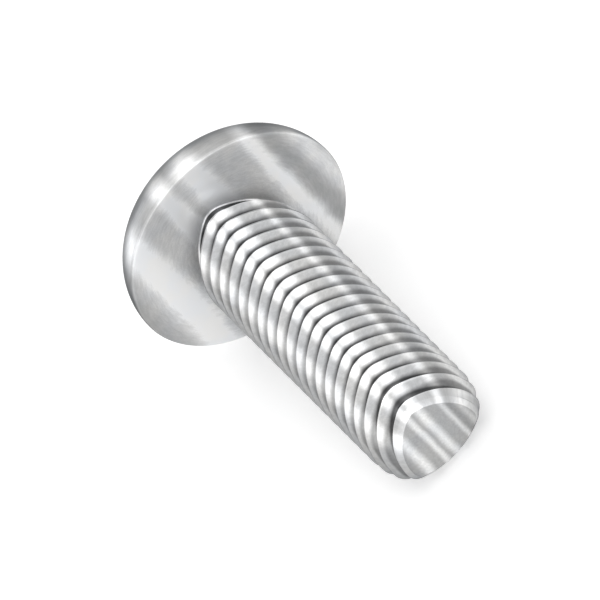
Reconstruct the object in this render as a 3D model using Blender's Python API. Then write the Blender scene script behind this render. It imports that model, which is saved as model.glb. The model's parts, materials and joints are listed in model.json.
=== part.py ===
"""Pan head machine screw with a three-lobed thread and a cross recess, lying on its side.

The screw is drawn along its own X axis: the flat bearing face under the head is at x = 0, the
shank runs towards +X and the head towards -X. One lobe of the section points up, along +Z.
"""

import math

import bmesh
import bpy
import numpy as np
from mathutils import Matrix, Vector

# Thread: 1/4 inch, 28 to the inch, right-handed, measured over its crests
THREAD_PITCH = 0.000907
LOBE_WIDTH = 0.00620
LOBE_RADIUS = 0.00115
FLANK_ANGLE = math.radians(30.0)
CREST_SHARE = 0.125
ROOT_SHARE = 0.25
FIRST_CREST = 0.00090
RUNOUT_LENGTH = 0.00045

# Shank and point
SHANK_LENGTH = 0.01855
NECK_STANDOFF = 0.00002
POINT_LENGTH = 0.00290
POINT_CUT = 0.00012
POINT_WIDTH = 0.00417
POINT_LAND = 0.00025
POINT_FADE = 0.00060

# Head
HEAD_DIAMETER = 0.0122
HEAD_HEIGHT = 0.0042
RIM_RADIUS = 0.00012

# Cross recess, size 3
RECESS_DEPTH = 0.0039
RECESS_FLOOR_DEPTH = 0.00070
RECESS_FLOOR_RADIUS = 0.0019
RECESS_WING_WIDTH = 0.00083
RECESS_CORE_WIDTH = 0.0020
RECESS_WING_ANGLE = math.radians(26.5)
RECESS_DRAFT = math.radians(5.75)
RECESS_TURN = math.radians(45.0)

# Fineness of the mesh
LOBE_STEPS = 4
SIDE_STEPS = 8
HEAD_STEPS = 72
CROWN_STEPS = 9
RIM_STEPS = 2
NOSE_STEPS = 3
SLIVER = 0.00004

LOBES = 3
LOBE_SPACING = 2.0 * math.pi / LOBES
TOP_LOBE = math.pi / 2.0

# The section is drawn on an equilateral triangle: a small arc about each corner, and a wide
# arc about the same corner on the far side, so it is equally wide whichever way it is measured.
TRIANGLE_SIDE = LOBE_WIDTH - 2.0 * LOBE_RADIUS
CORNER_OFFSET = TRIANGLE_SIDE / math.sqrt(3.0)
WIDE_RADIUS = TRIANGLE_SIDE + LOBE_RADIUS
HALF_TURN_OF_ARC = LOBE_SPACING / 4.0

# The thread form, whose groove has straight flanks that run into a round root
CREST_FLAT = CREST_SHARE * THREAD_PITCH
ROOT_OPENING = ROOT_SHARE * THREAD_PITCH
ROOT_RADIUS = ROOT_OPENING / (2.0 * math.cos(FLANK_ANGLE))
FLANK_DEPTH = (THREAD_PITCH - CREST_FLAT - ROOT_OPENING) / (2.0 * math.tan(FLANK_ANGLE))
THREAD_DEPTH = FLANK_DEPTH + ROOT_RADIUS * (1.0 - math.sin(FLANK_ANGLE))

# Under the head the neck flares like a flank, from the root of the thread to just outside its crests
NECK_FLARE_LENGTH = (FLANK_DEPTH + NECK_STANDOFF) * math.tan(FLANK_ANGLE)
THREAD_FROM = NECK_FLARE_LENGTH + ROOT_OPENING / 2.0
THREAD_TO = SHANK_LENGTH - POINT_LAND


def clear_scene():
    for item in list(bpy.data.objects):
        bpy.data.objects.remove(item, do_unlink=True)


def make_steel():
    steel = bpy.data.materials.new("steel")
    steel.use_nodes = True
    shader = steel.node_tree.nodes["Principled BSDF"]
    shader.inputs["Base Color"].default_value = (0.66, 0.67, 0.68, 1.0)
    shader.inputs["Metallic"].default_value = 1.0
    shader.inputs["Roughness"].default_value = 0.28
    return steel


def on_axis(x, radius, angle):
    """A point at a distance from the axis, with the angle counted from +Y towards +Z."""
    return Vector((x, radius * math.cos(angle), radius * math.sin(angle)))


def section_radius(angle):
    """Distance from the axis to the crests of the full thread."""
    off_lobe = (angle - TOP_LOBE + LOBE_SPACING / 2.0) % LOBE_SPACING - LOBE_SPACING / 2.0
    arc_end = math.atan2(
        LOBE_RADIUS * math.sin(HALF_TURN_OF_ARC),
        CORNER_OFFSET + LOBE_RADIUS * math.cos(HALF_TURN_OF_ARC),
    )
    if abs(off_lobe) <= arc_end:
        aside = CORNER_OFFSET * math.sin(off_lobe)
        return CORNER_OFFSET * math.cos(off_lobe) + math.sqrt(LOBE_RADIUS**2 - aside**2)
    off_side = LOBE_SPACING / 2.0 - abs(off_lobe)
    aside = CORNER_OFFSET * math.sin(off_side)
    return math.sqrt(WIDE_RADIUS**2 - aside**2) - CORNER_OFFSET * math.cos(off_side)


def section_angles():
    """Angles of the points round the section, closest together on the lobes."""
    angles = []
    for lobe in range(LOBES):
        middle = TOP_LOBE + lobe * LOBE_SPACING
        for step in range(LOBE_STEPS):
            turn = HALF_TURN_OF_ARC * (2.0 * step / LOBE_STEPS - 1.0)
            across = LOBE_RADIUS * math.sin(turn)
            angles.append(middle + math.atan2(across, CORNER_OFFSET + LOBE_RADIUS * math.cos(turn)))
        middle += LOBE_SPACING / 2.0
        for step in range(SIDE_STEPS):
            turn = HALF_TURN_OF_ARC * (2.0 * step / SIDE_STEPS - 1.0)
            across = WIDE_RADIUS * math.sin(turn)
            angles.append(middle + math.atan2(across, WIDE_RADIUS * math.cos(turn) - CORNER_OFFSET))
    return angles


def ellipse(along):
    """Height of the point's quarter ellipse, which falls from 1 where the point begins."""
    return math.sqrt(1.0 - (along / (POINT_LENGTH + POINT_CUT)) ** 2)


def point_scale(x):
    """Size of the section beside the full one.

    It rounds in along a quarter ellipse, which the flat tip cuts off just before its end.
    """
    into_point = x - (SHANK_LENGTH - POINT_LENGTH)
    if into_point <= 0.0:
        return 1.0
    end_drop = 1.0 - ellipse(POINT_LENGTH)
    return 1.0 - (1.0 - POINT_WIDTH / LOBE_WIDTH) * (1.0 - ellipse(into_point)) / end_drop


def shank_radius(x, angle, groove):
    """Distance from the axis, where groove is the depth that the thread form asks for."""
    rise = min(1.0, max(0.0, (x - THREAD_FROM) / RUNOUT_LENGTH))
    fade = min(1.0, max(0.0, (THREAD_TO - x) / POINT_FADE))
    crest = section_radius(angle) * point_scale(x)
    return crest - (1.0 - rise) * THREAD_DEPTH - min(rise, fade) * groove


def thread_form():
    """One pitch of the thread as (distance along the screw, depth below the crests)."""
    middle = THREAD_PITCH / 2.0
    return [
        (-CREST_FLAT / 2.0, 0.0),
        (CREST_FLAT / 2.0, 0.0),
        (middle - ROOT_OPENING / 2.0, FLANK_DEPTH),
        (middle, THREAD_DEPTH),
        (middle + ROOT_OPENING / 2.0, FLANK_DEPTH),
    ]


def ring(mesh, x, angles, groove=0.0, flare=0.0):
    """Points round the shank at one place along it."""
    return [
        mesh.verts.new(on_axis(x, shank_radius(x, angle, groove) + flare, angle)) for angle in angles
    ]


def skin(mesh, first, second):
    """Faces between two closed rings of equally many points."""
    for index, corner in enumerate(first):
        after = (index + 1) % len(first)
        mesh.faces.new((corner, first[after], second[after], second[index]))


def thread_columns(mesh, angles):
    """Columns of points along the shank, one at each angle, that climb with the helix."""
    form = thread_form()
    turns = math.ceil(SHANK_LENGTH / THREAD_PITCH) + 2
    columns = []
    for angle in angles:
        lead = FIRST_CREST + THREAD_PITCH * (angle - TOP_LOBE) / (2.0 * math.pi)
        column = []
        for turn in range(-3, turns):
            for along, groove in form:
                x = lead + turn * THREAD_PITCH + along
                if x < THREAD_FROM + SLIVER:
                    x = THREAD_FROM
                if x > THREAD_TO - SLIVER:
                    x = THREAD_TO
                column.append(mesh.verts.new(on_axis(x, shank_radius(x, angle, groove), angle)))
        columns.append(column)
    return columns


def add_thread(mesh, angles):
    """The threaded surface, which closes on itself one pitch further along after each turn."""
    columns = thread_columns(mesh, angles)
    rows_in_pitch = len(thread_form())
    for index, column in enumerate(columns):
        last = index + 1 == len(columns)
        beside = columns[0][rows_in_pitch:] if last else columns[index + 1]
        for row in range(len(beside) - 1):
            corners = (column[row], beside[row], beside[row + 1], column[row + 1])
            mesh.faces.new(corners)


def add_neck(mesh, angles):
    """The neck, from the bearing face down its flare to where the thread begins."""
    rings = [
        ring(mesh, 0.0, angles, flare=THREAD_DEPTH + NECK_STANDOFF),
        ring(mesh, NECK_FLARE_LENGTH, angles, flare=THREAD_DEPTH - FLANK_DEPTH),
        ring(mesh, THREAD_FROM, angles),
    ]
    for outer, inner in zip(rings, rings[1:]):
        skin(mesh, outer, inner)


def add_nose(mesh, angles):
    """The plain end of the point, from the last of the thread to the flat tip."""
    rings = []
    for step in range(NOSE_STEPS + 1):
        from_tip = POINT_LAND * (1.0 - step / NOSE_STEPS) ** 2
        rings.append(ring(mesh, SHANK_LENGTH - from_tip, angles))
    for outer, inner in zip(rings, rings[1:]):
        skin(mesh, outer, inner)
    mesh.faces.new(rings[-1])


def head_profile():
    """Half of the head's outline: a small round at the rim, then half an ellipse to the crown."""
    radius = HEAD_DIAMETER / 2.0
    points = []
    for step in range(RIM_STEPS):
        turn = math.pi / 2.0 * step / RIM_STEPS
        x = -RIM_RADIUS * (1.0 - math.cos(turn))
        points.append((x, radius - RIM_RADIUS * (1.0 - math.sin(turn))))
    for step in range(CROWN_STEPS + 1):
        turn = math.pi / 2.0 * step / CROWN_STEPS
        x = -RIM_RADIUS - (HEAD_HEIGHT - RIM_RADIUS) * math.sin(turn)
        points.append((x, radius * math.cos(turn)))
    return points


def add_head(mesh):
    """Turn the head's outline round the axis."""
    line = [mesh.verts.new((x, radius, 0.0)) for x, radius in head_profile()]
    edges = [mesh.edges.new(pair) for pair in zip(line, line[1:])]
    bmesh.ops.spin(
        mesh, geom=line + edges, axis=(1.0, 0.0, 0.0), cent=(0.0, 0.0, 0.0),
        angle=2.0 * math.pi, steps=HEAD_STEPS,
    )


def close_bearing_face(mesh):
    """Fill the flat ring between the neck and the rim, the only gap left in the skin."""
    gap = [edge for edge in mesh.edges if edge.is_boundary]
    bmesh.ops.triangle_fill(mesh, edges=gap, use_beauty=True)


def make_screw(steel):
    angles = section_angles()
    mesh = bmesh.new()
    add_thread(mesh, angles)
    add_neck(mesh, angles)
    add_nose(mesh, angles)
    add_head(mesh)
    bmesh.ops.remove_doubles(mesh, verts=mesh.verts[:], dist=1e-7)
    close_bearing_face(mesh)
    bmesh.ops.recalc_face_normals(mesh, faces=mesh.faces[:])
    data = bpy.data.meshes.new("machine_screw")
    mesh.to_mesh(data)
    mesh.free()
    data.materials.append(steel)
    screw = bpy.data.objects.new("machine_screw", data)
    bpy.context.scene.collection.objects.link(screw)
    return screw


def recess_outline(mesh, x, rise):
    """The cross at a height above the floor of its wings, wider the higher it is."""
    tip = RECESS_FLOOR_RADIUS + rise * math.tan(RECESS_WING_ANGLE)
    half_width = RECESS_WING_WIDTH / 2.0 + rise * math.tan(RECESS_DRAFT)
    half_core = RECESS_CORE_WIDTH / 2.0 + rise * math.tan(RECESS_DRAFT)
    shoulder = math.sqrt(2.0) * half_core - half_width
    wing = [(shoulder, -half_width), (tip, -half_width), (tip, half_width), (shoulder, half_width)]
    outline = []
    for quarter in range(4):
        turn = Matrix.Rotation(RECESS_TURN + quarter * math.pi / 2.0, 3, "X")
        outline += [mesh.verts.new(turn @ Vector((x, y, z))) for y, z in wing]
    return outline


def make_recess_cutter(screw):
    """A cross-shaped punch that stands out of the crown, with a pointed floor."""
    floor = -HEAD_HEIGHT + RECESS_DEPTH - RECESS_FLOOR_DEPTH
    height = RECESS_DEPTH
    mesh = bmesh.new()
    low = recess_outline(mesh, floor, 0.0)
    high = recess_outline(mesh, floor - height, height)
    centre = mesh.verts.new((floor + RECESS_FLOOR_DEPTH, 0.0, 0.0))
    skin(mesh, low, high)
    mesh.faces.new(high)
    for index, corner in enumerate(low):
        mesh.faces.new((corner, low[(index + 1) % len(low)], centre))
    bmesh.ops.recalc_face_normals(mesh, faces=mesh.faces[:])
    data = bpy.data.meshes.new("recess_cutter")
    mesh.to_mesh(data)
    mesh.free()
    cutter = bpy.data.objects.new("recess_cutter", data)
    cutter.parent = screw
    cutter.hide_render = True
    cutter.display_type = "WIRE"
    bpy.context.scene.collection.objects.link(cutter)
    return cutter


def cut_recess(screw):
    cut = screw.modifiers.new("recess", "BOOLEAN")
    cut.operation = "DIFFERENCE"
    cut.solver = "EXACT"
    cut.object = make_recess_cutter(screw)


def lay_down(screw):
    """Lay the screw on its rim and its thread, with the middle of its footprint at the origin."""
    points = np.array([corner.co[:] for corner in screw.data.vertices])
    head = points[points[:, 0] <= 0.0]
    shank = points[points[:, 0] > 0.0]
    low_head = head[head[:, 2] < 0.0]
    low_shank = shank[shank[:, 2] < 0.0]
    slopes = [
        np.min((low_shank[:, 2] - rim[2]) / (low_shank[:, 0] - rim[0])) for rim in low_head
    ]
    tilt = math.atan(max(slopes))
    turn = Matrix.Rotation(tilt, 3, "Y")
    turned = points @ np.array(turn).T
    low, high = turned.min(axis=0), turned.max(axis=0)
    screw.rotation_euler = (0.0, tilt, 0.0)
    screw.location = (-(low[0] + high[0]) / 2.0, -(low[1] + high[1]) / 2.0, -low[2])


def shade_smooth(screw):
    screw.data.shade_smooth()
    screw.data.set_sharp_from_angle(angle=math.radians(28.0))


def main():
    clear_scene()
    screw = make_screw(make_steel())
    lay_down(screw)
    cut_recess(screw)
    shade_smooth(screw)


main()
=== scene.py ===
"""Looks of the pan head machine screw: its fine thread, head and recess, steel, light and camera."""

import json
import math

import bmesh
import bpy
from mathutils import Matrix, Vector


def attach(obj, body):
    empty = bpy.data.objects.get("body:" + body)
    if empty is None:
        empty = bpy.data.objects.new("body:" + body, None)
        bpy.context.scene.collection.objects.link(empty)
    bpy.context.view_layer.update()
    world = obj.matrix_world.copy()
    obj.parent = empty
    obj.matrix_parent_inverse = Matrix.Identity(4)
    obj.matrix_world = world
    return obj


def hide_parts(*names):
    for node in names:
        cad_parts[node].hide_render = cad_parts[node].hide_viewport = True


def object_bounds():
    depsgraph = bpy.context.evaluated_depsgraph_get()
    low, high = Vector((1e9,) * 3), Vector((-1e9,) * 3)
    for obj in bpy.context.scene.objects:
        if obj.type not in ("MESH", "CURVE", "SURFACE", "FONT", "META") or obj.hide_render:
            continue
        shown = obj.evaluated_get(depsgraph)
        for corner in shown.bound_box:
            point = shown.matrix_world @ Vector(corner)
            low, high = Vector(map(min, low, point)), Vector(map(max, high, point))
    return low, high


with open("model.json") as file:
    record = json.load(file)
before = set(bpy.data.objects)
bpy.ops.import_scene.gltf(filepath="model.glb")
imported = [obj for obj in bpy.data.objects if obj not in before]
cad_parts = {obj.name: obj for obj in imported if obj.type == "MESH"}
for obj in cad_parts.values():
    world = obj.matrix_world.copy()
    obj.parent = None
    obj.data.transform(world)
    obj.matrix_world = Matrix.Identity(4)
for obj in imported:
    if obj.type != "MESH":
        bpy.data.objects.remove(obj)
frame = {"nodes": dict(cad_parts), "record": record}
CAD_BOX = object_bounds()

MILLIMETRES = 1000.0

# The screw, in metres. These are the sizes of the CAD solid that the fine screw stands for.
THREAD_PITCH = 0.000907
LOBE_WIDTH = 0.00620
LOBE_RADIUS = 0.00115
FLANK_ANGLE = math.radians(30.0)
CREST_SHARE = 0.125
ROOT_SHARE = 0.25
FIRST_CREST = 0.00090
RUNOUT_LENGTH = 0.00045
SHANK_LENGTH = 0.01855
NECK_STANDOFF = 0.00002
POINT_LENGTH = 0.00290
POINT_CUT = 0.00012
POINT_WIDTH = 0.00417
POINT_LAND = 0.00025
POINT_FADE = 0.00060
HEAD_DIAMETER = 0.0122
HEAD_HEIGHT = 0.0042
RIM_RADIUS = 0.00012
RECESS_DEPTH = 0.0039
RECESS_FLOOR_DEPTH = 0.00070
RECESS_FLOOR_RADIUS = 0.0019
RECESS_WING_WIDTH = 0.00083
RECESS_CORE_WIDTH = 0.0020
RECESS_WING_ANGLE = math.radians(26.5)
RECESS_DRAFT = math.radians(5.75)
RECESS_TURN = math.radians(45.0)

# Small rounds that only the fine screw has
CREST_ROUND = 0.000035
NECK_ROUND = 0.00012
WING_ROUND = 0.00013
SHOULDER_ROUND = 0.00016
LIP_ROUND = 0.00007

# The punch of the recess above its lip: a step out with a slight flare, then straight on
PUNCH_STEP = 5.0 * LIP_ROUND
PUNCH_FLARE = 0.01
PUNCH_HEIGHT = 1.2 * HEAD_HEIGHT

# Fineness of the mesh
LOBE_STEPS = 16
SIDE_STEPS = 30
CREST_STEPS = 3
ROOT_STEPS = 6
HEAD_STEPS = 192
CROWN_STEPS = 44
RIM_STEPS = 6
NECK_STEPS = 5
FLAT_MARGIN = 0.00025
NOSE_STEPS = 10
CORNER_STEPS = 6
LIP_STEPS = 5
TURNS_BEFORE = 3
TURNS_BEYOND = 2
MOUTH_ROUNDS = 20
SLIVER = 0.000008
MERGE_DISTANCE = 1e-7
ON_FACE_DISTANCE = 1e-6
SHARP_ANGLE = math.radians(28.0)

LOBES = 3
LOBE_SPACING = 2.0 * math.pi / LOBES
TOP_LOBE = math.pi / 2.0
TRIANGLE_SIDE = LOBE_WIDTH - 2.0 * LOBE_RADIUS
CORNER_OFFSET = TRIANGLE_SIDE / math.sqrt(3.0)
WIDE_RADIUS = TRIANGLE_SIDE + LOBE_RADIUS
HALF_TURN_OF_ARC = LOBE_SPACING / 4.0

CREST_FLAT = CREST_SHARE * THREAD_PITCH
ROOT_OPENING = ROOT_SHARE * THREAD_PITCH
ROOT_RADIUS = ROOT_OPENING / (2.0 * math.cos(FLANK_ANGLE))
FLANK_DEPTH = (THREAD_PITCH - CREST_FLAT - ROOT_OPENING) / (2.0 * math.tan(FLANK_ANGLE))
THREAD_DEPTH = FLANK_DEPTH + ROOT_RADIUS * (1.0 - math.sin(FLANK_ANGLE))
NECK_FLARE_LENGTH = (FLANK_DEPTH + NECK_STANDOFF) * math.tan(FLANK_ANGLE)
THREAD_FROM = NECK_FLARE_LENGTH + ROOT_OPENING / 2.0
THREAD_TO = SHANK_LENGTH - POINT_LAND

# The photograph's view, in parallel projection
MM_PER_PIXEL = 0.048666
PICTURE_WIDTH = 600
VIEW_FROM_AXIS = math.radians(46.83)
LOBE_TURN_IN_VIEW = math.radians(92.5)
CENTRE_PAST_BEARING_FACE = 0.005718
CAMERA_DISTANCE = 0.2
CAMERA_NEAR = 0.001
CAMERA_FAR = 10.0

# Soft lengthwise bands of painted highlight and painted shade: middle and reach as shares of half its
# width, and strength
PAINTED_HIGHLIGHT_BANDS = (
    (-0.66, 0.20, 1.0), (-0.19, 0.14, 0.95), (0.11, 0.19, 1.0), (0.60, 0.11, 0.65), (0.94, 0.14, 0.3),
)
PAINTED_SHADE_BANDS = ((-1.0, 0.22, 1.0), (0.75, 0.16, 0.9), (1.03, 0.12, 1.0))
BAND_TURN = math.tan(LOBE_TURN_IN_VIEW - math.pi / 2.0)
BAND_WAVER = 0.012

# Noise in the steel: features a millimetre, detail and roughness, and the span of its values
MARKS = (9.0, 3.0, 0.6)
FINE_MARKS = (34.0, 2.0, 0.5)
GRAIN = (12.0, 2.0, 0.5)
CLOUD = (0.55, 3.0, 0.5)
WAVER = (0.9, 2.0, 0.5)
NOISE_SPAN = (0.3, 0.7)
MARKS_ALONG = 0.7

# Where the steel changes softly: start, end, value before it and value after it. The first six go
# by places along the screw, in millimetres from its bearing face.
CROWN = (-3.0, -1.0, 1.0, 0.0)
OUTSIDE_TONE = (-0.1, -0.02, 0.84, 1.0)
BEARING_FACE = (0.02, 0.06, 1.0, 0.0)
THREADED = (0.6, 0.9, 0.0, 1.0)
# A painted highlight on the nose and painted shade on the flat tip
NOSE_PAINTED_HIGHLIGHT = (THREAD_TO * MILLIMETRES - 0.02, THREAD_TO * MILLIMETRES + 0.04, 1.0, 1.13)
TIP_PAINTED_SHADE = (SHANK_LENGTH * MILLIMETRES - 0.015, SHANK_LENGTH * MILLIMETRES - 0.001, 1.0, 0.64)

# By the distance from the axis in millimetres, which is taken as no less than the second, for painted
# light on the bearing face that is strongest near the shank
FACE_PAINTED_LIGHT = (3.0, 5.0, 0.5, 0.28)
LEAST_DISTANCE = 0.02

# By the share of the thread's depth: a painted highlight on the crests and painted shade in the roots
CREST = (0.0, 0.07, 1.0, 0.0)
ROOT = (0.62, 0.9, 0.0, 1.0)

# By how far aside it lies, as a share of half the width: where the painted shade of the flanks
# starts and ends, and how much later both come at the very side
FLANK_SHADE_FROM = (0.35, 0.82, 0.4, 0.1)
FLANK_SHADE_TO = (0.35, 0.82, 0.8, 0.42)
FLANK_SHADE_DELAY = (0.86, 0.98, 0.0, 0.28)

# By how low the angle is at which it is seen, for painted shade towards the outline
LOW_ANGLE_PAINTED_SHADE = (0.6, 0.95, 1.0, 0.5)

# Tones, which multiply the steel's colour. Bright bands of painted highlight lift the plain tone. Dull
# bands of painted shade drop it, by the first value on the head and by the second on the thread.
PLAIN_TONE = 0.70
PAINTED_HIGHLIGHT_LIFT = 0.68
PAINTED_SHADE_DROP = (0.27, 0.18)
CROWN_TONE = 0.86
# Painted shade on the flanks and in the roots, and a painted highlight on the crests
FLANK_PAINTED_SHADE = 0.46
ROOT_PAINTED_SHADE = 0.42
CREST_PAINTED_HIGHLIGHT = 1.15
MARKS_TONE = (0.93, 1.07)
GRAIN_TONE = (0.97, 1.03)
CLOUD_TONE = (0.96, 1.04)
BRIGHTEST_TONE = 1.42

# Colour, gloss and relief of the steel. Edge steel tints it at low angles, satin is how much less
# metallic the bearing face is, and brushing is how far the turned marks stretch its gloss.
COOL_STEEL = (0.675, 0.684, 0.696, 1.0)
WARM_STEEL = (0.694, 0.692, 0.686, 1.0)
EDGE_STEEL = (0.40, 0.41, 0.42, 1.0)
CLOUD_TINT = (0.35, 0.65, 0.0, 1.0)
BAND_ROUGHNESS = (0.36, 0.305)
GRAIN_ROUGHNESS = (-0.015, 0.025)
ROOT_ROUGHNESS = 0.2
FACE_SATIN = 0.55
BRUSHING = 0.6
FINE_MARKS_RELIEF = 0.8
GRAIN_RELIEF = 0.4
MARKS_RELIEF = 1.6
RELIEF_STRENGTH = 0.4
RELIEF_DEPTH = 0.000003

# The studio. A lamp has its azimuth from +X towards +Y and its elevation in degrees, its width
# and height in metres, and its radiance.
WHITE = (1.0, 1.0, 1.0, 1.0)
FLOOR_COLOUR = (0.9, 0.9, 0.9, 1.0)
FLOOR_REACH = 1.0
FLOOR_GLOW = 0.35
WORLD_LIGHT = 0.48
LAMP_DISTANCE = 0.8
LAMPS = {
    "key_light": (25.0, 60.0, 0.5, 0.5, 1.0),
    "top_light": (180.0, 85.0, 0.6, 0.6, 0.85),
    "front_light": (0.0, 16.0, 0.9, 0.36, 1.3),
    "back_light": (180.0, 47.0, 0.6, 0.44, 0.7),
    "left_light": (100.0, 42.0, 0.35, 0.65, 0.95),
    "right_light": (-100.0, 42.0, 0.35, 0.65, 0.85),
    "rim_light": (-148.0, 12.0, 0.45, 0.3, 0.8),
}


def screw_placement():
    """Where the CAD solid lies: its own axis runs along X from the middle of the bearing face."""
    mount = next(m for m in frame["record"]["mounts"] if m["name"] == "bearing_face")
    axis = Vector(mount["axis"])
    point = Vector(mount["pos_m"])
    corners = [corner.co for corner in frame["nodes"]["machine_screw"].data.vertices]
    on_face = [corner for corner in corners if abs((corner - point).dot(axis)) < ON_FACE_DISTANCE]
    highest = max(on_face, key=lambda corner: corner.z)
    lowest = min(on_face, key=lambda corner: corner.z)
    tilt = math.atan2(-axis.z, axis.x)
    return Matrix.Translation((highest + lowest) / 2.0) @ Matrix.Rotation(tilt, 4, "Y")


def on_axis(x, radius, angle):
    """A point at a distance from the axis, with the angle counted from +Y towards +Z."""
    return Vector((x, radius * math.cos(angle), radius * math.sin(angle)))


def section_radius(angle):
    """Distance from the axis to the crests of the full thread."""
    off_lobe = (angle - TOP_LOBE + LOBE_SPACING / 2.0) % LOBE_SPACING - LOBE_SPACING / 2.0
    arc_end = math.atan2(
        LOBE_RADIUS * math.sin(HALF_TURN_OF_ARC),
        CORNER_OFFSET + LOBE_RADIUS * math.cos(HALF_TURN_OF_ARC),
    )
    if abs(off_lobe) <= arc_end:
        aside = CORNER_OFFSET * math.sin(off_lobe)
        return CORNER_OFFSET * math.cos(off_lobe) + math.sqrt(LOBE_RADIUS**2 - aside**2)
    off_side = LOBE_SPACING / 2.0 - abs(off_lobe)
    aside = CORNER_OFFSET * math.sin(off_side)
    return math.sqrt(WIDE_RADIUS**2 - aside**2) - CORNER_OFFSET * math.cos(off_side)


def section_angles():
    """Angles of the points round the section, closest together on the lobes."""
    angles = []
    for lobe in range(LOBES):
        middle = TOP_LOBE + lobe * LOBE_SPACING
        for step in range(LOBE_STEPS):
            turn = HALF_TURN_OF_ARC * (2.0 * step / LOBE_STEPS - 1.0)
            across = LOBE_RADIUS * math.sin(turn)
            angles.append(middle + math.atan2(across, CORNER_OFFSET + LOBE_RADIUS * math.cos(turn)))
        middle += LOBE_SPACING / 2.0
        for step in range(SIDE_STEPS):
            turn = HALF_TURN_OF_ARC * (2.0 * step / SIDE_STEPS - 1.0)
            across = WIDE_RADIUS * math.sin(turn)
            angles.append(middle + math.atan2(across, WIDE_RADIUS * math.cos(turn) - CORNER_OFFSET))
    return angles


def ellipse(along):
    """Height of the point's quarter ellipse, which falls from 1 where the point begins."""
    return math.sqrt(1.0 - (along / (POINT_LENGTH + POINT_CUT)) ** 2)


def point_scale(x):
    """Size of the section beside the full one, which rounds in towards the flat tip."""
    into_point = x - (SHANK_LENGTH - POINT_LENGTH)
    if into_point <= 0.0:
        return 1.0
    end_drop = 1.0 - ellipse(POINT_LENGTH)
    return 1.0 - (1.0 - POINT_WIDTH / LOBE_WIDTH) * (1.0 - ellipse(into_point)) / end_drop


def shank_radius(x, angle, groove):
    """Distance from the axis, where groove is the depth that the thread form asks for."""
    rise = min(1.0, max(0.0, (x - THREAD_FROM) / RUNOUT_LENGTH))
    fall = min(1.0, max(0.0, (THREAD_TO - x) / POINT_FADE))
    crest = section_radius(angle) * point_scale(x)
    return crest - (1.0 - rise) * THREAD_DEPTH - min(rise, fall) * groove


def crest_corner(side):
    """The small round between crest and flank, from the flat to the flank on side +1."""
    turn = math.pi / 2.0 - FLANK_ANGLE
    flat_end = CREST_FLAT / 2.0 - CREST_ROUND * math.tan(turn / 2.0)
    points = []
    for step in range(CREST_STEPS + 1):
        part = turn * step / CREST_STEPS
        points.append(
            (side * (flat_end + CREST_ROUND * math.sin(part)), CREST_ROUND * (1.0 - math.cos(part)))
        )
    return points


def thread_form():
    """One pitch of the thread as (distance along the screw, depth below the crests)."""
    form = crest_corner(-1.0)[::-1] + crest_corner(1.0)
    sweep = math.pi / 2.0 - FLANK_ANGLE
    for step in range(ROOT_STEPS + 1):
        turn = sweep * (2.0 * step / ROOT_STEPS - 1.0)
        along = THREAD_PITCH / 2.0 + ROOT_RADIUS * math.sin(turn)
        form.append((along, THREAD_DEPTH - ROOT_RADIUS * (1.0 - math.cos(turn))))
    return form


def ring(mesh, x, angles, flare=0.0):
    """Points round the plain shank at one place along it."""
    return [mesh.verts.new(on_axis(x, shank_radius(x, angle, 0.0) + flare, angle)) for angle in angles]


def skin(mesh, first, second):
    """Faces between two closed rings of equally many points."""
    for index, corner in enumerate(first):
        after = (index + 1) % len(first)
        mesh.faces.new((corner, first[after], second[after], second[index]))


def thread_columns(mesh, angles):
    """Columns of points along the shank, one at each angle, that climb with the helix. Points past
    either end of the thread gather at that end, to be merged."""
    form = thread_form()
    turns = math.ceil(SHANK_LENGTH / THREAD_PITCH) + TURNS_BEYOND
    columns = []
    for angle in angles:
        lead = FIRST_CREST + THREAD_PITCH * (angle - TOP_LOBE) / (2.0 * math.pi)
        column = []
        for turn in range(-TURNS_BEFORE, turns):
            for along, groove in form:
                x = lead + turn * THREAD_PITCH + along
                if x < THREAD_FROM + SLIVER:
                    x = THREAD_FROM
                if x > THREAD_TO - SLIVER:
                    x = THREAD_TO
                column.append(mesh.verts.new(on_axis(x, shank_radius(x, angle, groove), angle)))
        columns.append(column)
    return columns


def add_thread(mesh, angles):
    """The threaded surface, which closes on itself one pitch further along after each turn."""
    columns = thread_columns(mesh, angles)
    rows_in_pitch = len(thread_form())
    for index, column in enumerate(columns):
        last = index + 1 == len(columns)
        beside = columns[0][rows_in_pitch:] if last else columns[index + 1]
        for row in range(len(beside) - 1):
            mesh.faces.new((column[row], beside[row], beside[row + 1], column[row + 1]))


def add_neck(mesh, angles):
    """The plain neck, rounded out into the bearing face, with a margin of that face."""
    rings = [ring(mesh, 0.0, angles, NECK_ROUND + FLAT_MARGIN)]
    for step in range(NECK_STEPS + 1):
        turn = math.pi / 2.0 * step / NECK_STEPS
        x = NECK_ROUND * (1.0 - math.cos(turn))
        rings.append(ring(mesh, x, angles, NECK_ROUND * (1.0 - math.sin(turn))))
    rings.append(ring(mesh, THREAD_FROM, angles))
    for first, second in zip(rings, rings[1:]):
        skin(mesh, first, second)


def add_nose(mesh, angles):
    """The plain end of the point, from the last of the thread to the flat tip."""
    rings = []
    for step in range(NOSE_STEPS + 1):
        from_tip = POINT_LAND * (1.0 - step / NOSE_STEPS) ** 2
        rings.append(ring(mesh, SHANK_LENGTH - from_tip, angles))
    for outer, inner in zip(rings, rings[1:]):
        skin(mesh, outer, inner)
    mesh.faces.new(rings[-1])


def crown_x(radius):
    """Where the crown is along the screw, at a distance from the axis."""
    return -RIM_RADIUS - (HEAD_HEIGHT - RIM_RADIUS) * math.sqrt(1.0 - (2.0 * radius / HEAD_DIAMETER) ** 2)


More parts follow.
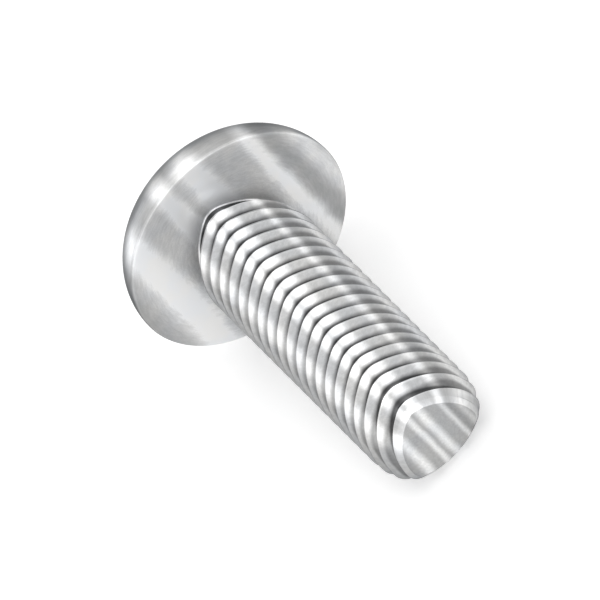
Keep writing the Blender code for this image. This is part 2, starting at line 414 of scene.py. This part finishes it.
def head_profile():
    """Half of the head's outline: a small round at the rim, then half an ellipse to the crown."""
    radius = HEAD_DIAMETER / 2.0
    points = [(0.0, radius - RIM_RADIUS - FLAT_MARGIN)]
    for step in range(RIM_STEPS):
        turn = math.pi / 2.0 * step / RIM_STEPS
        x = -RIM_RADIUS * (1.0 - math.cos(turn))
        points.append((x, radius - RIM_RADIUS * (1.0 - math.sin(turn))))
    for step in range(CROWN_STEPS + 1):
        turn = math.pi / 2.0 * step / CROWN_STEPS
        x = -RIM_RADIUS - (HEAD_HEIGHT - RIM_RADIUS) * math.sin(turn)
        points.append((x, radius * math.cos(turn)))
    return points


def add_head(mesh):
    """Turn the head's outline round the axis."""
    line = [mesh.verts.new((x, radius, 0.0)) for x, radius in head_profile()]
    edges = [mesh.edges.new(pair) for pair in zip(line, line[1:])]
    bmesh.ops.spin(
        mesh, geom=line + edges, axis=(1.0, 0.0, 0.0), cent=(0.0, 0.0, 0.0),
        angle=2.0 * math.pi, steps=HEAD_STEPS,
    )


def new_object(name, mesh):
    """An object made from a finished bmesh."""
    bmesh.ops.recalc_face_normals(mesh, faces=mesh.faces[:])
    data = bpy.data.meshes.new(name)
    mesh.to_mesh(data)
    mesh.free()
    made = bpy.data.objects.new(name, data)
    bpy.context.scene.collection.objects.link(made)
    return made


def make_blank():
    """The whole screw before its recess is punched, in its own frame."""
    angles = section_angles()
    mesh = bmesh.new()
    add_thread(mesh, angles)
    add_neck(mesh, angles)
    add_nose(mesh, angles)
    add_head(mesh)
    bmesh.ops.remove_doubles(mesh, verts=mesh.verts[:], dist=MERGE_DISTANCE)
    gap = [edge for edge in mesh.edges if edge.is_boundary]
    bmesh.ops.triangle_fill(mesh, edges=gap, use_beauty=True)
    return new_object("fine_screw", mesh)


def round_corner(before, corner, after, radius):
    """An arc in place of a corner, as (point, outward direction) pairs, for a counterclockwise outline."""
    back = (before - corner).normalized()
    ahead = (after - corner).normalized()
    bulges = -back.cross(ahead) > 0.0
    half_opening = back.angle(ahead) / 2.0
    centre = corner + (back + ahead).normalized() * radius / math.sin(half_opening)
    start = corner + back * radius / math.tan(half_opening) - centre
    end = corner + ahead * radius / math.tan(half_opening) - centre
    pairs = []
    for step in range(CORNER_STEPS + 1):
        arm = start.slerp(end, step / CORNER_STEPS).normalized()
        pairs.append((centre + arm * radius, arm if bulges else -arm))
    return pairs


def recess_outline(rise):
    """The cross at a height above the floor of its wings, with rounded corners."""
    tip = RECESS_FLOOR_RADIUS + rise * math.tan(RECESS_WING_ANGLE)
    half_width = RECESS_WING_WIDTH / 2.0 + rise * math.tan(RECESS_DRAFT)
    half_core = RECESS_CORE_WIDTH / 2.0 + rise * math.tan(RECESS_DRAFT)
    shoulder = math.sqrt(2.0) * half_core - half_width
    wing = [(shoulder, -half_width), (tip, -half_width), (tip, half_width), (shoulder, half_width)]
    rounds = [SHOULDER_ROUND, WING_ROUND, WING_ROUND, SHOULDER_ROUND]
    corners = []
    for quarter in range(4):
        turn = Matrix.Rotation(RECESS_TURN + quarter * math.pi / 2.0, 2)
        corners += [(turn @ Vector(corner), size) for corner, size in zip(wing, rounds)]
    outline = []
    for index, (corner, size) in enumerate(corners):
        before = corners[index - 1][0]
        after = corners[(index + 1) % len(corners)][0]
        outline += round_corner(before, corner, after, size)
    return outline


def mouth_rise(index, floor):
    """Height above the floor at which one line of the recess wall meets the crown."""
    rise = HEAD_HEIGHT / 2.0
    for _ in range(MOUTH_ROUNDS):
        rise = floor - crown_x(recess_outline(rise)[index][0].length)
    return rise


def recess_wall_line(index, floor):
    """One line of the punch, from the floor up its wall, over the lip and out of the crown."""
    rise = mouth_rise(index, floor)
    foot = recess_outline(0.0)[index][0]
    low = recess_outline(rise - LIP_ROUND)[index][0]
    mouth, outward = recess_outline(rise)[index]
    rim = mouth + outward * LIP_ROUND
    on_wall = Vector((floor - rise + LIP_ROUND, *low))
    on_edge = Vector((floor - rise, *mouth))
    on_crown = Vector((crown_x(rim.length), *rim))
    line = [Vector((floor, *foot))]
    for step in range(LIP_STEPS + 1):
        part = step / LIP_STEPS
        line.append(
            on_wall * (1.0 - part) ** 2 + on_edge * 2.0 * part * (1.0 - part) + on_crown * part**2
        )
    line.append(on_crown + Vector((-PUNCH_STEP, *(rim * PUNCH_FLARE))))
    line.append(Vector((-PUNCH_HEIGHT, line[-1].y, line[-1].z)))
    return line


def make_punch():
    """The cross-shaped punch of the recess, with a pointed end and a flared lip."""
    floor = -HEAD_HEIGHT + RECESS_DEPTH - RECESS_FLOOR_DEPTH
    mesh = bmesh.new()
    lines = []
    for index in range(len(recess_outline(0.0))):
        lines.append([mesh.verts.new(point) for point in recess_wall_line(index, floor)])
    rings = [list(points) for points in zip(*lines)]
    for low, high in zip(rings, rings[1:]):
        skin(mesh, low, high)
    mesh.faces.new(rings[-1])
    centre = mesh.verts.new((floor + RECESS_FLOOR_DEPTH, 0.0, 0.0))
    for index, corner in enumerate(rings[0]):
        mesh.faces.new((corner, rings[0][(index + 1) % len(rings[0])], centre))
    return new_object("recess_punch", mesh)


def punch_recess(screw):
    """Cut the recess and keep the result as the screw's own mesh."""
    punch = make_punch()
    cut = screw.modifiers.new("recess", "BOOLEAN")
    cut.operation = "DIFFERENCE"
    cut.solver = "EXACT"
    cut.object = punch
    whole = screw.evaluated_get(bpy.context.evaluated_depsgraph_get())
    cut_mesh = bpy.data.meshes.new_from_object(whole)
    screw.modifiers.clear()
    screw.data = cut_mesh
    bpy.data.objects.remove(punch)


def mark_surface(data):
    """Leave on each point its place in the screw's own frame, how far down the thread it lies and
    half the width of the screw there, in millimetres, for the steel to follow."""
    places, grooves, half_widths = [], [], []
    for corner in data.vertices:
        x, y, z = corner.co
        on_shank = x > MERGE_DISTANCE
        scale = point_scale(min(x, SHANK_LENGTH)) if on_shank else 1.0
        depth = 0.0
        if NECK_ROUND / 2.0 < x < THREAD_TO:
            depth = section_radius(math.atan2(z, y)) * scale - math.hypot(y, z)
        width = LOBE_WIDTH * scale if on_shank else HEAD_DIAMETER
        places += [value * MILLIMETRES for value in corner.co]
        grooves.append(min(1.0, max(0.0, depth / THREAD_DEPTH)))
        half_widths.append(width / 2.0 * MILLIMETRES)
    data.attributes.new("place", "FLOAT_VECTOR", "POINT").data.foreach_set("vector", places)
    data.attributes.new("groove", "FLOAT", "POINT").data.foreach_set("value", grooves)
    data.attributes.new("half_width", "FLOAT", "POINT").data.foreach_set("value", half_widths)


def put_in_place(data):
    """Lay the screw where the CAD solid lies, trimming the few microns by which its true curves
    stand out of the box of the faceted solid."""
    data.transform(screw_placement())
    low, high = CAD_BOX
    for corner in data.vertices:
        corner.co = [min(max(value, low[axis]), high[axis]) for axis, value in enumerate(corner.co)]


def make_screw():
    """The finished screw, in place of the CAD solid."""
    screw = make_blank()
    punch_recess(screw)
    mark_surface(screw.data)
    put_in_place(screw.data)
    screw.data.shade_smooth()
    screw.data.set_sharp_from_angle(angle=SHARP_ANGLE)
    even = screw.modifiers.new("even_shading", "WEIGHTED_NORMAL")
    even.keep_sharp = True
    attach(screw, "root")
    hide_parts("machine_screw")
    return screw


def add_node(tree, kind, settings=None, **inputs):
    """A shader node with its settings and inputs, by name or as i and a number. An input is a value
    or another node's output."""
    made = tree.nodes.new("ShaderNode" + kind)
    for name, value in (settings or {}).items():
        setattr(made, name, value)
    for name, value in inputs.items():
        key = int(name[1:]) if name[0] == "i" and name[1:].isdigit() else name.replace("_", " ")
        if isinstance(value, bpy.types.NodeSocket):
            tree.links.new(value, made.inputs[key])
        else:
            made.inputs[key].default_value = value
    return made


def maths(tree, operation, first, second=0.0):
    """The result of one sum on two numbers."""
    return add_node(tree, "Math", {"operation": operation}, i0=first, i1=second).outputs[0]


def vector_maths(tree, operation, first, **others):
    """The result of one sum on vectors."""
    return add_node(tree, "VectorMath", {"operation": operation}, i0=first, **others).outputs[0]


def total(tree, *terms):
    """All terms added up."""
    result = terms[0]
    for term in terms[1:]:
        result = maths(tree, "ADD", result, term)
    return result


def product(tree, *factors):
    """All factors multiplied."""
    result = factors[0]
    for factor in factors[1:]:
        result = maths(tree, "MULTIPLY", result, factor)
    return result


def attribute(tree, name, output):
    """What mark_surface left on the points."""
    return add_node(tree, "Attribute", {"attribute_name": name}).outputs[output]


def noise(tree, vector, scale, detail, roughness):
    """Even noise over the NOISE_SPAN, whose features are 1 / scale wide."""
    inputs = {"Vector": vector, "Scale": scale, "Detail": detail, "Roughness": roughness}
    return add_node(tree, "TexNoise", **inputs).outputs["Fac"]


def fade(tree, value, start, end, low, high):
    """A smooth change from low at start to high at end."""
    settings = {"interpolation_type": "SMOOTHSTEP"}
    inputs = {"Value": value, "From_Min": start, "From_Max": end, "To_Min": low, "To_Max": high}
    return add_node(tree, "MapRange", settings, **inputs).outputs[0]


def blend(tree, share, low, high):
    """A smooth change from low where the share is 0 to high where it is 1."""
    return fade(tree, share, 0.0, 1.0, low, high)


def spread(tree, value, low, high):
    """Noise stretched to run from low to high."""
    return fade(tree, value, *NOISE_SPAN, low, high)


def bands(tree, share, places):
    """The sum of soft bands, each at its full strength in its middle."""
    parts = []
    for middle, reach, strength in places:
        away = maths(tree, "ABSOLUTE", maths(tree, "SUBTRACT", share, middle))
        parts.append(fade(tree, away, 0.0, reach, strength, 0.0))
    return total(tree, *parts)


def turned_tangent(tree):
    """The direction round the screw's axis, which its turned marks follow."""
    placement = screw_placement()
    axis = placement.to_3x3() @ Vector((1.0, 0.0, 0.0))
    position = add_node(tree, "NewGeometry").outputs["Position"]
    arm = vector_maths(tree, "SUBTRACT", position, i1=placement.translation[:])
    return vector_maths(tree, "NORMALIZE", vector_maths(tree, "CROSS_PRODUCT", arm, i1=axis[:]))


def make_steel():
    """Bright zinc-plated steel with soft lengthwise bands of painted highlight and painted shade, turned
    marks, plating grain and clouds. Its crests and nose get a painted highlight, its flanks, roots and
    flat tip painted shade, and it is painted darker where seen at a low angle. Its roots are rougher,
    and its bearing face is satin and painted lighter."""
    steel = bpy.data.materials.new("bright_zinc_steel")
    steel.use_nodes = True
    tree = steel.node_tree
    shader = tree.nodes["Principled BSDF"]

    place = attribute(tree, "place", "Vector")
    groove = attribute(tree, "groove", "Fac")
    half_width = attribute(tree, "half_width", "Fac")
    x, y, z = add_node(tree, "SeparateXYZ", Vector=place).outputs
    distance = maths(tree, "SQRT", total(tree, product(tree, y, y), product(tree, z, z)))
    distance = maths(tree, "MAXIMUM", distance, LEAST_DISTANCE)

    across = total(tree, distance, product(tree, x, MARKS_ALONG))
    around_y = maths(tree, "DIVIDE", y, distance)
    around_z = maths(tree, "DIVIDE", z, distance)
    lay = add_node(tree, "CombineXYZ", X=across, Y=around_y, Z=around_z).outputs[0]
    marks = noise(tree, lay, *MARKS)
    fine_marks = noise(tree, lay, *FINE_MARKS)
    grain = noise(tree, place, *GRAIN)
    cloud = noise(tree, place, *CLOUD)
    waver = noise(tree, place, *WAVER)

    side = maths(tree, "SUBTRACT", y, product(tree, z, BAND_TURN))
    share = maths(tree, "DIVIDE", side, half_width)
    share = total(tree, share, spread(tree, waver, -BAND_WAVER, BAND_WAVER))
    aside = maths(tree, "ABSOLUTE", share)
    # Bands of painted highlight and painted shade along the screw
    painted_highlight = bands(tree, share, PAINTED_HIGHLIGHT_BANDS)
    painted_shade = bands(tree, share, PAINTED_SHADE_BANDS)

    # Masks for the painted highlight on the crests and the painted shade in the roots, which are also
    # rougher
    crest = fade(tree, groove, *CREST)
    root = fade(tree, groove, *ROOT)
    on_thread = fade(tree, x, *THREADED)
    on_crown = fade(tree, x, *CROWN)
    on_face = fade(tree, maths(tree, "ABSOLUTE", x), *BEARING_FACE)
    shade_delay = fade(tree, aside, *FLANK_SHADE_DELAY)
    flank_shade_from = total(tree, fade(tree, aside, *FLANK_SHADE_FROM), shade_delay)
    flank_shade_to = total(tree, fade(tree, aside, *FLANK_SHADE_TO), shade_delay)
    facing = add_node(tree, "LayerWeight").outputs["Facing"]

    settings = {"operation": "MULTIPLY_ADD"}
    tone = add_node(tree, "Math", settings, i0=painted_highlight, i1=PAINTED_HIGHLIGHT_LIFT, i2=PLAIN_TONE).outputs[0]
    tone = maths(tree, "SUBTRACT", tone, product(tree, painted_shade, blend(tree, on_thread, *PAINTED_SHADE_DROP)))
    tone = add_node(tree, "Mix", Factor=on_crown, A=tone, B=CROWN_TONE).outputs[0]
    tone = product(
        tree,
        tone,
        spread(tree, marks, *MARKS_TONE),
        spread(tree, grain, *GRAIN_TONE),
        spread(tree, cloud, *CLOUD_TONE),
        # Painted shade deeper down the flanks
        fade(tree, groove, flank_shade_from, flank_shade_to, 1.0, FLANK_PAINTED_SHADE),
        # Painted shade where the steel is seen at a low angle
        fade(tree, facing, *LOW_ANGLE_PAINTED_SHADE),
        # Painted light on the bearing face
        total(tree, product(tree, on_face, fade(tree, distance, *FACE_PAINTED_LIGHT)), 1.0),
        fade(tree, x, *OUTSIDE_TONE),
        # Painted highlight on the nose and painted shade on the flat tip
        product(tree, fade(tree, x, *NOSE_PAINTED_HIGHLIGHT), fade(tree, x, *TIP_PAINTED_SHADE)),
        # Painted shade in the roots and a painted highlight on the crests
        blend(tree, root, 1.0, ROOT_PAINTED_SHADE),
        blend(tree, product(tree, crest, on_thread), 1.0, CREST_PAINTED_HIGHLIGHT),
    )
    tone = maths(tree, "MINIMUM", tone, BRIGHTEST_TONE)
    settings = {"data_type": "RGBA"}
    warmth = fade(tree, cloud, *CLOUD_TINT)
    tint = add_node(tree, "Mix", settings, i0=warmth, i6=COOL_STEEL, i7=WARM_STEEL).outputs[2]
    tree.links.new(vector_maths(tree, "SCALE", tint, Scale=tone), shader.inputs["Base Color"])

    roughness = total(
        tree,
        blend(tree, painted_highlight, *BAND_ROUGHNESS),
        spread(tree, grain, *GRAIN_ROUGHNESS),
        blend(tree, root, 0.0, ROOT_ROUGHNESS),
    )
    tree.links.new(roughness, shader.inputs["Roughness"])
    metal = maths(tree, "SUBTRACT", 1.0, product(tree, on_face, FACE_SATIN))
    tree.links.new(metal, shader.inputs["Metallic"])
    tree.links.new(turned_tangent(tree), shader.inputs["Tangent"])
    shader.inputs["Anisotropic"].default_value = BRUSHING
    shader.inputs["Specular Tint"].default_value = EDGE_STEEL

    relief = total(
        tree,
        product(tree, fine_marks, FINE_MARKS_RELIEF),
        product(tree, grain, GRAIN_RELIEF),
        product(tree, marks, MARKS_RELIEF),
    )
    inputs = {"Strength": RELIEF_STRENGTH, "Distance": RELIEF_DEPTH, "Height": relief}
    tree.links.new(add_node(tree, "Bump", **inputs).outputs[0], shader.inputs["Normal"])
    return steel


def seen_by_eye_or_gloss(tree):
    """1 for what the camera sees, itself or in the steel's reflections, and 0 for other light."""
    path = add_node(tree, "LightPath").outputs
    return maths(tree, "MAXIMUM", path["Is Camera Ray"], path["Is Glossy Ray"])


def make_floor():
    """The plain pale floor, which is lifted to white to the eye but keeps the screw's shadow."""
    mesh = bmesh.new()
    bmesh.ops.create_grid(mesh, x_segments=1, y_segments=1, size=FLOOR_REACH)
    floor = new_object("floor", mesh)
    paint = bpy.data.materials.new("pale_floor")
    paint.use_nodes = True
    tree = paint.node_tree
    shader = tree.nodes["Principled BSDF"]
    shader.inputs["Base Color"].default_value = FLOOR_COLOUR
    shader.inputs["Roughness"].default_value = 1.0
    shader.inputs["Specular IOR Level"].default_value = 0.0
    shader.inputs["Emission Color"].default_value = WHITE
    glow = product(tree, seen_by_eye_or_gloss(tree), FLOOR_GLOW)
    tree.links.new(glow, shader.inputs["Emission Strength"])
    floor.data.materials.append(paint)


def make_camera():
    """The photograph's camera, square to its picture of the screw."""
    placement = screw_placement()
    turn = placement.to_3x3()
    axis = turn @ Vector((1.0, 0.0, 0.0))
    lobe = turn @ Vector((0.0, 0.0, 1.0))
    beside = axis.cross(lobe)
    across = math.cos(LOBE_TURN_IN_VIEW) * lobe - math.sin(LOBE_TURN_IN_VIEW) * beside
    upright = math.sin(LOBE_TURN_IN_VIEW) * lobe + math.cos(LOBE_TURN_IN_VIEW) * beside
    to_camera = math.cos(VIEW_FROM_AXIS) * axis + math.sin(VIEW_FROM_AXIS) * upright
    along = math.sin(VIEW_FROM_AXIS) * axis - math.cos(VIEW_FROM_AXIS) * upright
    right = (across + along).normalized()
    up = (across - along).normalized()
    target = placement.translation + axis * CENTRE_PAST_BEARING_FACE
    lens = bpy.data.cameras.new("camera")
    lens.type = "ORTHO"
    lens.ortho_scale = PICTURE_WIDTH * MM_PER_PIXEL / MILLIMETRES
    lens.clip_start = CAMERA_NEAR
    lens.clip_end = CAMERA_FAR
    camera = bpy.data.objects.new("camera", lens)
    pose = Matrix((right, up, to_camera)).transposed().to_4x4()
    camera.matrix_world = Matrix.Translation(target + to_camera * CAMERA_DISTANCE) @ pose
    bpy.context.scene.collection.objects.link(camera)
    bpy.context.scene.camera = camera


def add_softbox(name, azimuth, elevation, width, height, radiance):
    """A soft lamp that faces the screw."""
    lamp = bpy.data.lights.new(name, "AREA")
    lamp.shape = "RECTANGLE"
    lamp.size = width
    lamp.size_y = height
    lamp.energy = radiance * math.pi * width * height
    box = bpy.data.objects.new(name, lamp)
    azimuth = math.radians(azimuth)
    elevation = math.radians(elevation)
    level = Vector((math.cos(azimuth), math.sin(azimuth), 0.0))
    outward = level * math.cos(elevation) + Vector((0.0, 0.0, math.sin(elevation)))
    box.location = outward * LAMP_DISTANCE
    box.rotation_euler = outward.to_track_quat("Z", "Y").to_euler()
    bpy.context.scene.collection.objects.link(box)


def make_light():
    """Even light from a world that looks white, and the soft lamps."""
    world = bpy.data.worlds.new("studio")
    world.use_nodes = True
    bpy.context.scene.world = world
    tree = world.node_tree
    background = tree.nodes["Background"]
    background.inputs["Color"].default_value = WHITE
    lift = product(tree, seen_by_eye_or_gloss(tree), 1.0 - WORLD_LIGHT)
    tree.links.new(total(tree, lift, WORLD_LIGHT), background.inputs["Strength"])
    for name, settings in LAMPS.items():
        add_softbox(name, *settings)


screw = make_screw()
screw.data.materials.append(make_steel())
make_floor()
make_camera()
make_light()
bpy.context.scene.view_settings.view_transform = "Standard"
